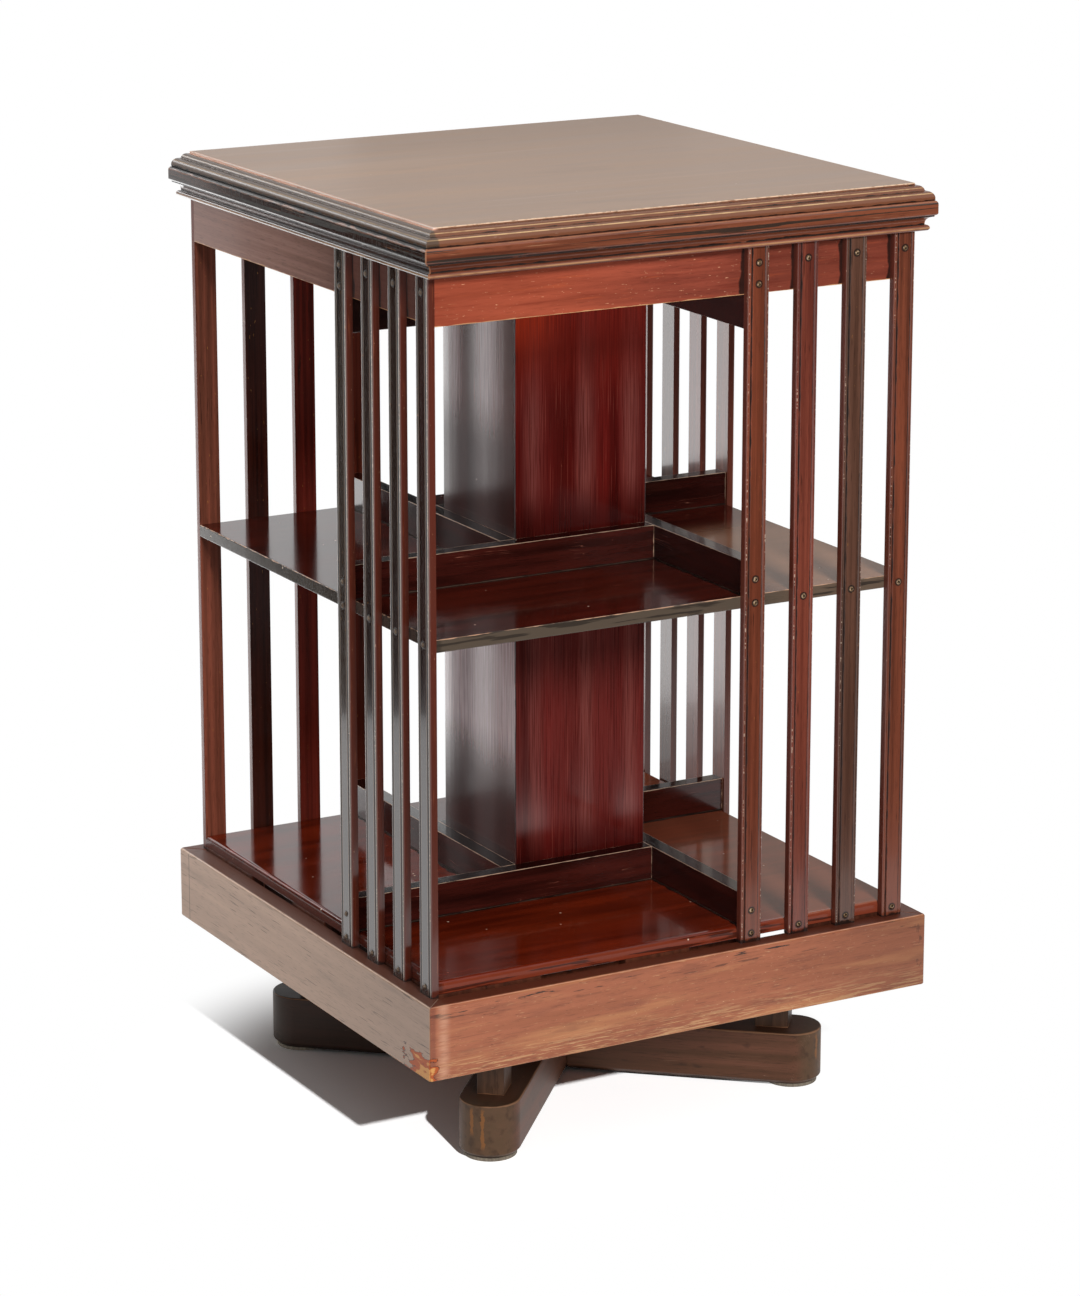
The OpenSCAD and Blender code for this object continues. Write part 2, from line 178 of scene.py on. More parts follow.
def half_as_bright(code):
    """A hexadecimal screen colour at half its level."""
    return "#" + "".join("%02x" % (level // 2) for level in levels(code))


def straight(across, up):
    """The straight distance of a point that lies that far away in two directions."""
    return (across ** 2.0 + up ** 2.0) ** 0.5


print("a mid grey in linear light:", round(colour("#808080")[0], 3))

# %% [markdown]
# ## The studio
# The photograph shows the bookcase on white paper with one crisp shadow under it. The paper is a
# plain floor, lit to a level at which a colour renders as it is written. Rays that come straight
# from the camera, or off a glossy face, see a lighter paper, so that it is white where the lamp
# reaches it and keeps the shadow where it doesn't. A little way from the stand the same rays see
# plain white, as if the paper had been lit from behind, and the world does the same beyond it.

# %% Paper floor
WHITE = (1, 1, 1, 1)
FLOOR_REACH = 60.0
PAPER = 0.5
PAPER_SEEN = 1.35
SHADOW_MIDDLE = (-0.06, 0.0, 0.0)
SHADOW_REACH = 0.20
SHADOW_END = 0.35


def seen(tree):
    """1 for rays from the camera, off gloss or through glass, and 0 for the light that falls."""
    path = tree.add("ShaderNodeLightPath", output="Is Camera Ray")
    rays = path.socket.node.outputs
    return path.most(Value(tree, rays["Is Glossy Ray"])).most(Value(tree, rays["Is Transmission Ray"]))


def paper_material():
    """Matt paper round the shadow, and plain white for who looks at it further out."""
    material = bpy.data.materials.new("paper")
    tree = Tree(material)
    looked_at = seen(tree)
    level = looked_at * (PAPER_SEEN - PAPER) + PAPER
    grey = tree.add("ShaderNodeCombineColor", inputs={"Red": level, "Green": level, "Blue": level})
    paper = tree.add("ShaderNodeBsdfDiffuse", inputs={"Color": grey})
    white = tree.add("ShaderNodeEmission", inputs={"Color": WHITE, "Strength": 1.0})
    point = tree.add("ShaderNodeTexCoord", output="Object")
    ends = {0: point, 1: SHADOW_MIDDLE}
    away = tree.add("ShaderNodeVectorMath", {"operation": "DISTANCE"}, ends, "Value")
    far = away.rise(SHADOW_REACH, SHADOW_END) * looked_at
    surface = tree.add("ShaderNodeMixShader", inputs={0: far, 1: paper, 2: white})
    tree.add("ShaderNodeOutputMaterial", inputs={"Surface": surface})
    return material


def flat_sheet(name, corners, material):
    """A single face as a stage piece."""
    mesh = bpy.data.meshes.new(name)
    mesh.from_pydata(corners, [], [range(len(corners))])
    sheet = bpy.data.objects.new(name, mesh)
    mesh.materials.append(material)
    bpy.context.scene.collection.objects.link(sheet)
    return sheet


corner_signs = [(-1, -1), (1, -1), (1, 1), (-1, 1)]
floor_corners = [(x * FLOOR_REACH, y * FLOOR_REACH, 0) for x, y in corner_signs]
floor = flat_sheet("floor", floor_corners, paper_material())
print("floor corners:", floor_corners)

# %% White world
WORLD_LIGHT = 0.2

world = bpy.data.worlds.new("white_room")
bpy.context.scene.world = world
world_tree = Tree(world)
world_strength = seen(world_tree) * (1 - WORLD_LIGHT) + WORLD_LIGHT
white = world_tree.add("ShaderNodeBackground", inputs={"Color": WHITE, "Strength": world_strength})
world_tree.add("ShaderNodeOutputWorld", inputs={"Surface": white})
print("world light:", WORLD_LIGHT)

# %% [markdown]
# The shadow tells where the lamp stood. Its corner lies on the paper 18 cm behind the corner of the
# plinth that casts it, and that corner is 11 cm up: the lamp shone from the front, a little to the
# right of the camera, about 30 degrees above the floor. A sun lamp gives such a shadow the same
# sharpness everywhere. One sun would have to be too hard for the wood or too soft for the paper, so
# two stand in the same place, and light linking gives each of them its own collection to light.
# Polish doesn't mirror either of them, because their glare would bleach the top seen from behind.

# %% Two suns
KEY_AZIMUTH = -8
KEY_ELEVATION = 30
KEY_LEVEL = 0.68
KEY_SOFTNESS = math.radians(16)
PAPER_LEVEL = 1.35
PAPER_SOFTNESS = math.radians(1.2)
CASE_MIDDLE = Vector((0, 0, 0.45))
SUN_DISTANCE = 3.0


def lamp(name, kind, azimuth, elevation, distance, target=CASE_MIDDLE):
    """A lamp that looks at a place on the bookcase from that way."""
    away = direction(math.radians(azimuth), math.radians(elevation))
    light = bpy.data.lights.new(name, kind)
    holder = bpy.data.objects.new(name, light)
    holder.location = target + away * distance
    holder.rotation_euler = (-away).to_track_quat("-Z", "Y").to_euler()
    holder.visible_camera = False
    bpy.context.scene.collection.objects.link(holder)
    return holder


def lit_collection(name, pieces):
    """A collection that lamps can be linked to."""
    collection = bpy.data.collections.new(name)
    for piece in pieces:
        collection.objects.link(piece)
    return collection


def sun(name, level, softness, lit):
    """A sun that lights one collection, at that share of the plain level, and isn't mirrored."""
    holder = lamp(name, "SUN", KEY_AZIMUTH, KEY_ELEVATION, SUN_DISTANCE)
    holder.data.energy = math.pi * level
    holder.data.angle = softness
    holder.visible_glossy = False
    holder.light_linking.receiver_collection = lit


bookcase_only = lit_collection("bookcase_only", cad.values())
paper_only = lit_collection("paper_only", [floor])
sun("key", KEY_LEVEL, KEY_SOFTNESS, bookcase_only)
sun("paper_key", PAPER_LEVEL, PAPER_SOFTNESS, paper_only)
print("suns:", len(bpy.data.lights), "over the floor by", KEY_ELEVATION, "degrees")

# %% [markdown]
# Polish shows whatever stands round it, so its highlights are drawn with area lamps. A tall strip at
# the left and a broad one high behind it make the bright lines along the mouldings there. A large
# soft box beside the camera fills the shade between the slats. A small strip at the back is what
# the right-hand slats mirror on their inner faces. The lamps light nothing but the bookcase, so
# they throw no second shadow on the paper.

# %% Four strips
def strip(name, azimuth, elevation, distance, width, height, brightness, target=CASE_MIDDLE):
    """An area lamp of that size. Its brightness is how many times white it looks in a mirror."""
    holder = lamp(name, "AREA", azimuth, elevation, distance, target)
    holder.data.shape = "RECTANGLE"
    holder.data.size = width
    holder.data.size_y = height
    holder.data.energy = brightness * math.pi * width * height
    holder.light_linking.receiver_collection = bookcase_only


RIGHT_SLATS = Vector((0.22, 0.12, 0.26))
strip("left_strip", -105, 4, 2.4, width=0.25, height=1.7, brightness=6.0)
strip("moulding_strip", -153, 24, 2.4, width=0.7, height=0.35, brightness=5.0)
strip("front_softbox", -14, 9, 3.4, width=1.8, height=1.0, brightness=2.2)
strip("back_strip", -149, 0, 0.95, width=0.5, height=0.6, brightness=2.1, target=RIGHT_SLATS)
print("lamps:", len(bpy.data.lights))

# %% [markdown]
# A photographer sets black flags up round polished wood. The front faces mirror a flag instead of
# the white room, so their red stays deep, and the upper left slats mirror another, so they stay
# dark there and turn pale further down. Two more keep the shelves dark behind the front opening.
# Beside them a glowing grey card gives the right-hand ends of the shelves their dull shine.
# Only reflections see the flags and the card.

# %% Black flags and a grey card
CARD_LEVEL = 0.7


def sheet_material(name, kind, inputs):
    """A material of one plain shader."""
    material = bpy.data.materials.new(name)
    tree = Tree(material)
    tree.add("ShaderNodeOutputMaterial", inputs={"Surface": tree.add(kind, inputs=inputs)})
    return material


def flag(name, material, start, end, low, high):
    """A sheet that stands between two points of the floor plan, from one height to another."""
    (x0, y0), (x1, y1) = start, end
    sheet = flat_sheet(name, [(x0, y0, low), (x1, y1, low), (x1, y1, high), (x0, y0, high)], material)
    sheet.visible_camera = False
    sheet.visible_shadow = False
    sheet.visible_diffuse = False
    print(name, "from", start, "to", end)


black = sheet_material("black_flag", "ShaderNodeBsdfDiffuse", {"Color": colour("#0a0808")})
card_look = {"Color": colour("#d8ccc4"), "Strength": CARD_LEVEL}
grey = sheet_material("grey_card", "ShaderNodeEmission", card_look)
flag("front_flag", black, (-0.1, -0.8), (1.6, -0.8), low=0.0, high=0.9)
flag("left_flag", black, (-1.25, 0.40), (-0.56, 0.84), low=0.10, high=0.80)
flag("right_flag", black, (0.68, 1.2), (0.87, 1.2), low=0.0, high=0.97)
flag("high_flag", black, (0.42, 1.2), (0.68, 1.2), low=0.64, high=0.97)
flag("right_card", grey, (0.87, 1.2), (1.6, 1.0), low=0.0, high=0.97)

# %% [markdown]
# ## Softened arrises
# No arris on real furniture is perfectly sharp, and old ones are rubbed round. The thin line of
# light along such an edge is what makes a board look solid. The meshes that come in have doubled
# corners and their own stored normals, so a small geometry-nodes group first cleans them. Then
# Decimate joins the flat triangles, Bevel rounds every edge sharper than 40 degrees, and Weighted
# Normal keeps the broad faces flat. All of it is modifiers, so the meshes themselves stay as made.

# %% The clean-up group
SAME_PLACE = 1e-5
CLEAN_UP_CHAIN = (
    "NodeGroupInput",
    "GeometryNodeRemoveAttribute",
    "GeometryNodeMergeByDistance",
    "GeometryNodeSetShadeSmooth",
    "NodeGroupOutput",
)


def clean_up_group():
    """Geometry nodes that drop the stored normals, join doubled corners and shade the faces smooth."""
    group = bpy.data.node_groups.new("clean_up", "GeometryNodeTree")
    for way in ("INPUT", "OUTPUT"):
        group.interface.new_socket("Geometry", in_out=way, socket_type="NodeSocketGeometry")
    chain = [group.nodes.new(kind) for kind in CLEAN_UP_CHAIN]
    remove, merge = chain[1:3]
    remove.inputs["Name"].default_value = "custom_normal"
    merge.inputs["Distance"].default_value = SAME_PLACE
    for node, following in zip(chain, chain[1:]):
        group.links.new(node.outputs[0], following.inputs[0])
    return group


clean_up = clean_up_group()
print("clean-up nodes:", len(clean_up.nodes))

# %% Round the arrises of every wooden piece
SHARP = math.radians(40)
FLAT = math.radians(1)
ARRIS_SEGMENTS = 2
ARRIS_WIDTHS = {
    "top_board": 0.0005, "cornice": 0.0004, "frieze": 0.0007, "top_rail": 0.0010, "slat": 0.0004,
    "middle_shelf": 0.0003, "bottom_shelf": 0.0003, "middle_curb": 0.0011, "bottom_curb": 0.0011,
    "column": 0.0009, "plinth": 0.0012, "foot_beam": 0.0012, "post": 0.0008, "runner_blocks": 0.0010,
    "foot_pads": 0.0005, "bearer": 0.0010, "pivot_block": 0.0010, "glue_blocks": 0.0008,
}
NOT_WOOD = ("slat_pins", "collar_screws", "pivot_pin", "pivot_cup", "lower_collar")


def soften(name, width):
    """Rounds the arrises of one piece by that width."""
    piece = cad[name]
    piece.modifiers.new("clean_up", "NODES").node_group = clean_up
    flatten = piece.modifiers.new("flatten", "DECIMATE")
    flatten.decimate_type = "DISSOLVE"
    flatten.angle_limit = FLAT
    arris = piece.modifiers.new("arris", "BEVEL")
    arris.width = width
    arris.segments = ARRIS_SEGMENTS
    arris.limit_method = "ANGLE"
    arris.angle_limit = SHARP
    normals = piece.modifiers.new("normals", "WEIGHTED_NORMAL")
    normals.mode = "FACE_AREA"


wooden = [name for name in cad if name not in NOT_WOOD]
for name in wooden:
    kind = next(kind for kind in ARRIS_WIDTHS if name.startswith(kind))
    soften(name, ARRIS_WIDTHS[kind])
print("softened:", len(wooden))

# %% [markdown]
# ## Where a point lies in its board
# Every board was cut with the grain along its length. So each board's material works in the board's
# own terms: along the grain, across it, how far the nearest arris is and how far the point lies
# inward from the board's outer face. The object coordinates give the point in metres, and the
# board's box, read from its own corners, gives the rest. A beam of the cross lies at an angle, so
# its point is first turned back by that angle.

# %% The Board class: place
SIDE_AXES = {"front": 0, "right": 1, "back": 0, "left": 1}
GRAIN_ORDERS = {"X": (0, 1, 2), "Y": (1, 0, 2), "Z": (2, 0, 1)}
SEED_ALONG = 7.31
SEED_ACROSS = 3.17
FACE_DEPTHS = (0.0012, 0.0006)
SKIN = 0.0004


def side_grain(side):
    """The axis along which the boards of a side run."""
    return "XY"[SIDE_AXES[side]]


class Board:
    """One board and the tree of its material."""

    def __init__(self, name, grain, turn=0.0):
        self.name = name
        self.seed = sorted(cad).index(name)
        self.material = bpy.data.materials.new(name)
        self.tree = Tree(self.material)
        point = self.tree.add("ShaderNodeTexCoord", output="Object")
        if turn:
            point = self.tree.add(
                "ShaderNodeVectorRotate", {"rotation_type": "Z_AXIS"}, {"Vector": point, "Angle": -turn}
            )
        parts = self.tree.add("ShaderNodeSeparateXYZ", inputs={"Vector": point}).socket.node.outputs
        self.place = [Value(self.tree, parts[axis]) for axis in "XYZ"]
        self.x, self.y, self.z = self.place
        turned = [Matrix.Rotation(-turn, 3, "Z") @ v.co for v in cad[name].data.vertices]
        self.low = [min(v[i] for v in turned) for i in range(3)]
        self.high = [max(v[i] for v in turned) for i in range(3)]
        self.along, self.across, self.through = (self.place[i] for i in GRAIN_ORDERS[grain])
        self.out = abs(self.x).most(abs(self.y))
        reach = max(abs(end) for end in self.low[:2] + self.high[:2])
        self.inward = reach - self.out

    def inside(self, axis):
        """How far a point lies inside the board's box, from the nearer of its two faces on that axis."""
        half = (self.high[axis] - self.low[axis]) / 2
        middle = (self.high[axis] + self.low[axis]) / 2
        return half - abs(self.place[axis] - middle)

    def outside(self, name, axis):
        """How far a point lies outside another piece's box along one axis, below 0 when inside."""
        low, high = (corner[axis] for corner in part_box(name))
        return abs(self.place[axis] - (low + high) / 2) - (high - low) / 2

    def up(self):
        """How far a point lies above the board's lower edge."""
        return self.z - self.low[2]

    def down(self):
        """How far a point lies below the board's upper edge."""
        return self.high[2] - self.z

    def top_face(self):
        """1 on the board's top face and 0 below it."""
        return self.z > self.high[2] - SKIN

    def outer_face(self):
        """1 on the face that looks away from the case's middle, and 0 further in."""
        return self.inward.rise(*FACE_DEPTHS)

    def rightward(self, side):
        """How far to the right of the case's middle line a point lies, for who looks at that side."""
        return {"front": self.x, "right": self.y, "back": self.x * -1.0, "left": self.y * -1.0}[side]

    def arris(self):
        """The distance from a point on the board to its nearest arris: the middle one of the three."""
        a, b, c = (self.inside(axis) for axis in range(3))
        return a.least(b).most(a.most(b).least(c))

    def profile(self, out, height):
        """The distance from a line that runs round the case at that reach and height."""
        return straight(self.out - out, self.z - height)

    def noise(self, length, width, detail, shift=0.0):
        """Cloudy noise, about 0 to 1 round 0.5, whose spots are that long and wide in metres."""
        place = {
            "X": self.along / length + (self.seed * SEED_ALONG + shift),
            "Y": self.across / width + (self.seed * SEED_ACROSS + shift),
            "Z": self.through / width,
        }
        vector = self.tree.add("ShaderNodeCombineXYZ", inputs=place)
        inputs = {"Vector": vector, "Scale": 1.0, "Detail": detail}
        return self.tree.add("ShaderNodeTexNoise", inputs=inputs)


print("boards to finish:", len(cad))

# %% [markdown]
# ## Layers of an old finish
# Old stained wood is built up in layers, and so is its shader. The stain soaks in unevenly along the
# grain. Pores stay dark. Each layer is one method that changes the colour, the roughness and the
# height so far, so a finish reads from the wood outwards. The alternative, one picture painted for
# every board, would repeat or blur, while noise measured in metres stays sharp at any distance.

# %% The Board class: stain and polish
PORE_LENGTH = 0.014
PORE_WIDTH = 0.0007
PORE_DEPTH = 3e-5
BROAD_LENGTH = 0.5
BROAD_WIDTH = 0.07
STREAK_SHARE = 0.6
STREAK_CONTRAST = 3.2
STREAK_HEIGHT = 2e-5
LAYER_STEP = 13.7
LEAST_ROUGHNESS = 0.05


class StainedBoard(Board):
    """A board under its stain and polish: a colour, a roughness and a height in metres."""

    shift = 0.0

    def fresh(self):
        """A new place in the noise for each layer."""
        self.shift += LAYER_STEP
        return self.shift

    def lay(self, tint, share, rough=0.0, sink=0.0):
        """Covers a share of the board with a tint, and makes it rougher and lower there."""
        self.tone = self.tree.mix(share, self.tone, colour(tint))
        self.rough = self.rough + share * rough
        self.height = self.height - share * sink

    def stain(self, light, dark, contrast=1.0, streak=0.006, pores=0.4, length=0.22):
        """Stain in long streaks, with a broad change of tone over the board and darker pores."""
        streaks = self.noise(length, streak, 5.0)
        broad = self.noise(BROAD_LENGTH, BROAD_WIDTH, 2.0, shift=11.0)
        both = streaks * STREAK_SHARE + broad * (1 - STREAK_SHARE)
        share = ((both - 0.5) * (STREAK_CONTRAST * contrast) + 0.5).rise(0.0, 1.0)
        self.tone = self.tree.mix(share, colour(dark), colour(light))
        self.rough = streaks * 0.1 - 0.05
        self.height = streaks * STREAK_HEIGHT
        if pores:
            open_pores = self.noise(PORE_LENGTH, PORE_WIDTH, 2.0, shift=5.0).rise(0.56, 0.70)
            self.lay(half_as_bright(dark), open_pores * pores, sink=PORE_DEPTH)

    def marks(self, tint, length, width, cover, share, rough=0.0, sink=0.0, detail=3.0, soft=0.06):
        """Marks about that long and wide, wherever the noise passes cover."""
        spots = self.noise(length, width, detail, self.fresh())
        self.lay(tint, spots.rise(cover, cover + soft) * share, rough, sink)

    def finish(self, roughness, coat=0.0, ior=1.5, coat_roughness=0.08, metallic=0.0):
        """Closes the material: colour, roughness, bump and polish, and gives it to the board."""
        normal = self.tree.add(
            "ShaderNodeBump", inputs={"Height": self.height, "Distance": 1.0, "Strength": 1.0}
        )
        shader = self.tree.add(
            "ShaderNodeBsdfPrincipled",
            inputs={
                "Base Color": self.tone,
                "Metallic": metallic,
                "Roughness": (self.rough + roughness).most(LEAST_ROUGHNESS),
                "IOR": ior,
                "Normal": normal,
                "Coat Weight": coat,
                "Coat Roughness": coat_roughness,
            },
        )
        self.tree.add("ShaderNodeOutputMaterial", inputs={"Surface": shader})
        for slot in cad[self.name].material_slots:
            slot.material = self.material
        print(self.name, "is finished with", len(self.tree.nodes), "nodes")


print("a pore is", PORE_LENGTH * 1000, "mm long and", PORE_WIDTH * 1000, "mm wide")

# %% [markdown]
# A century of use comes on top. Hands and cloths rub the arrises down to bare wood, knocks leave
# marks, dirt gathers in the corners and dust sits on the polish. Painted shade darkens other corners.
# Wear could be found by a node that looks for edges in the mesh, but that also marks the inner
# corners and changes with the triangles. Here wear, dirt and painted shade start from a distance in
# metres, and noise makes their borders ragged.

# %% The Board class: wear and dirt
BORDER_SWING = 2.4
BORDER_SHIFT = 0.4
BORDER_SOFT = 0.4
WORN_ROUGH = 0.2
WORN_DEPTH = 4e-5
GRIME_AND_SHADE_ROUGH = 0.25
SCRATCH_HALF = 0.006
SPECK_CHANCE = 0.7


class AgedBoard(StainedBoard):
    """A stained board that has been used for a century."""

    def ragged(self, distance, reach, share, grain):
        """1 within reach of a line and 0 beyond, with an uneven border that follows the grain."""
        uneven = self.noise(grain, grain * 0.3, 4.0, self.fresh())
        border = (uneven * BORDER_SWING - BORDER_SHIFT) * reach
        return (border - distance).rise(0.0, reach * BORDER_SOFT) * share

    def rub(self, tint, reach, share, distance=None, grain=0.05):
        """Arrises worn down to lighter wood, in places further in than in others."""
        self.lay(tint, self.ragged(distance or self.arris(), reach, share, grain), WORN_ROUGH, WORN_DEPTH)

    def line(self, tint, distance, half, share, grain=0.02):
        """A thin line that runs on without a break and only grows fainter in places."""
        faint = self.noise(grain, grain, 3.0, self.fresh()).rise(0.35, 0.55) * 0.45 + 0.55
        self.lay(tint, distance.rise(half, half * 0.4) * faint * share, rough=0.1)

    def grime_and_shade(self, distance, reach, share=0.85, tint="#140d0a", grain=0.03):
        """Darkening along a corner: dirt and old polish in some places, painted shade in others."""
        self.lay(tint, self.ragged(distance, reach, share, grain), GRIME_AND_SHADE_ROUGH)

    def scratch(self, tint, share, spread=0.58):
        """Fine scratches that run roughly with the grain."""
        lines = self.noise(0.12, 0.0035, 1.0, self.fresh())
        some = self.noise(0.05, 0.03, 2.0, self.fresh()).rise(spread, spread + 0.08)
        self.lay(tint, abs(lines - 0.5).rise(SCRATCH_HALF, 0.0) * some * share, rough=0.1)

    def dust(self, tint, share, cell, size):
        """Specks of dust and paint, one in some of the cells of an even scatter."""
        place = self.tree.add("ShaderNodeCombineXYZ", inputs={"X": self.x, "Y": self.y, "Z": self.z})
        spots = self.tree.add("ShaderNodeTexVoronoi", inputs={"Vector": place, "Scale": 1 / cell})
        cell_colour = Value(self.tree, spots.socket.node.outputs["Color"])
        chance = self.tree.add("ShaderNodeSeparateColor", inputs={"Color": cell_colour})
        speck = spots.rise(size / cell, size / cell * 0.5) * (chance > SPECK_CHANCE)
        self.lay(tint, speck * share, rough=0.3)


print("layers to choose from:", ", ".join(name for name in vars(AgedBoard) if name[0] != "_"))

# %% [markdown]
# ## The top board
# The flat top has stood in daylight for a century, so it has bleached to a dull tan while its
# moulded edge kept some brown. Its streaks are soft, a few specks of old paint sit on it, and the
# arris round the flat is worn to a salmon line, broadest at the left, where a painted highlight
# runs along it. The moulded edge is handled as a profile: a worn line with a painted highlight runs
# round the case along each ridge at one reach and one height, and so does dirt in a hollow. One
# distance gives both. On the left a painted shade darkens the lower edge, over the cornice.

# %% Top board
# A ridge or a hollow of the moulded edge runs at one reach from the middle and at one height.
TOP = 0.815
FLAT_REACH = 0.229
TOP_RIDGES = ((0.2338, 0.8108), (0.2399, 0.8069))
TOP_HOLLOWS = ((0.2292, 0.8122), (0.2352, 0.8080), (0.2415, 0.8010))
OLD_POLISH = "#0c0705"
DEEP_SHADE = "#060403"


def top_wood():
    """Bleached wood on the flat, brown wood on the moulded edge and a worn arris between them."""
    board = AgedBoard("top_board", "X")
    board.stain("#b88c65", "#a07756", contrast=0.5, streak=0.02, pores=0.15)
    board.marks("#c39a76", 0.30, 0.02, 0.56, 0.3, soft=0.15)
    board.marks("#8a6650", 0.12, 0.03, 0.60, 0.25, soft=0.15)
    board.lay("#8f6a4c", board.x.rise(-0.15, 0.3) * 0.35)
    board.lay("#7c5c42", board.y.rise(0.02, 0.26) * 0.4)
    edge = board.z.rise(TOP - 0.0004, TOP - 0.0012)
    board.lay("#78452f", edge * 0.9, rough=-0.12)
    dull = (board.x + FLAT_REACH).rise(0.0, -0.002) * edge
    board.lay("#4c3e30", dull * 0.8)
    for out, height in TOP_HOLLOWS:
        board.grime_and_shade(board.profile(out, height), 0.0013, 0.95, OLD_POLISH, grain=0.010)
    # Cream lines along the ridges: worn wood with a painted highlight on it.
    for out, height in TOP_RIDGES:
        board.line("#eec48e", board.profile(out, height), 0.0008, (1 - dull * 0.6) * 0.85, grain=0.012)
    # Painted shade: dark along the lower edge on the left, in the gap over the cornice.
    board.grime_and_shade(board.up(), 0.0024, dull * 0.98, DEEP_SHADE, grain=0.02)
    arris = board.profile(FLAT_REACH, TOP)
    board.line("#ffdcba", arris, 0.0012, 0.95, grain=0.004)
    board.marks("#7c3a24", 0.006, 0.0010, 0.60, arris.rise(0.0016, 0.0010) * 0.7)
    left = (board.x + FLAT_REACH).rise(0.006, 0.0)
    # At the left the arris is worn broader, and the near-white core along it is a painted highlight.
    board.line("#ffc8ac", arris, 0.0030, left * 0.9, grain=0.04)
    board.line("#fff2e6", board.profile(FLAT_REACH + 0.0003, TOP), 0.0013, left * 0.95, grain=0.04)
    board.marks("#5a3c2c", 0.010, 0.0016, 0.66, arris.rise(0.0030, 0.0015) * 0.7)
    board.marks("#c9b09a", 0.012, 0.002, 0.72, 0.5)
    board.dust("#efe4d3", 0.9, cell=0.035, size=0.0009)
    board.finish(0.34)


top_wood()

# %% [markdown]
# ## The cornice
# The moulding under the top is a bead, a hollow and a broad flat band. On the front it is a reddish
# brown with long black streaks where old polish ran along the band. On the left the light only
# grazes it, so scuffs and the shine matter more than the colour. The bead is worn along its crest
# and both creases beside it hold dirt. Thin lines of painted highlight run over the worn crest and
# the band's edges, and on the left a painted shade lies along the top, under the top board. The
# drawing says where each crest and crease runs, so two small tables of places do for all four sides.

# %% Cornice
CORNICE_CREASES = ((0.2353, 0.7802), (0.2413, 0.7877), (0.2400, 0.8010), (0.2270, 0.7750))
BAND_LOW = 0.7885
BAND_HIGH = 0.7990
BAND_REACH = 0.2395
BEAD_CREST = (0.2386, 0.7774)
CORNICE_RIM = (0.2425, 0.8000)
LEFT_RIM = (0.2430, 0.7990)
CORNICE_STAINS = {"left": ("#5a3628", "#2a1812")}


def cornice_wood(side):
    """Red brown moulding with a streaked band, dirty creases, painted highlights on worn crests and
    painted shade.
    """
    board = AgedBoard(f"cornice_{side}", side_grain(side))
    light, dark = CORNICE_STAINS.get(side, ("#8c4e36", "#5c3022"))
    board.stain(light, dark, contrast=1.2, streak=0.004)
    band = board.z.rise(BAND_LOW, BAND_LOW + 0.001) * board.z.rise(BAND_HIGH + 0.001, BAND_HIGH)
    board.marks("#2a2721", 0.24, 0.0026, 0.545, band * 0.9, rough=0.15, detail=6.0, soft=0.02)
    board.marks("#c08a66", 0.05, 0.0012, 0.66, band * 0.6)
    board.marks("#0e0907", 0.0016, 0.012, 0.56 if side == "left" else 0.70, band * 0.85, rough=0.2)
    for out, height in CORNICE_CREASES:
        board.grime_and_shade(board.profile(out, height), 0.0014, 0.95, OLD_POLISH, grain=0.012)
    # Thin lines along the band's lower edge, the bead's crest and the rim: wear with a painted highlight.
    board.line("#c8824e", board.profile(BAND_REACH, BAND_LOW), 0.0007, 0.8, grain=0.012)
    board.line("#dca878", board.profile(*BEAD_CREST), 0.0009, 0.6)
    board.line("#b87444", board.profile(*CORNICE_RIM), 0.0007, 0.6, grain=0.012)
    if side == "left":
        board.rub("#7c4a2c", 0.0016, 0.8, board.profile(*LEFT_RIM), grain=0.012)
        # Painted shade along the upper edge, in the gap under the top board.
        board.grime_and_shade(board.down(), 0.0030, 0.98, DEEP_SHADE, grain=0.02)
    mitre = abs(board.x - board.y).least(abs(board.x + board.y))
    board.rub("#c0835c", 0.0012, 0.6, mitre)
    board.marks("#e2cdb4", 0.004, 0.0012, 0.76, 0.7)
    board.finish(0.22, coat=0.3)


for side in SIDE_AXES:
    cornice_wood(side)

# %% [markdown]
# ## The frieze and the rails
# The frieze is a plain board of an orange red on the front, streaked along its length, with pale
# nicks and a thin worn line along its lower arris. On the left it is duller, and painted shade darkens
# it towards the front end. Painted shade lies under the cornice and beside each slat. A shader could
# find those corners by ambient occlusion, which is slow and is lost on export. The slats' boxes give
# the same distance for nothing. The rails behind the frieze are almost black.

# %% Frieze
# A polish is the weight of the clear coat and the refraction of the wood under it.
FRIEZE_STAINS = {"left": ("#b08070", "#8a6052")}
FRIEZE_POLISH = {"left": (0.2, 1.42)}
UNDER_CORNICE = 0.775
SLAT_NUMBERS = (1, 2, 3, 4)


def nearest(distances):
    """The least of several distances."""
    first, *others = distances
    for other in others:
        first = first.least(other)
    return first


def beside_slats(board, side):
    """How far along its side a point lies from the nearest edge of a slat."""
    return nearest(board.outside(f"slat_{side}_{n}", SIDE_AXES[side]) for n in SLAT_NUMBERS)


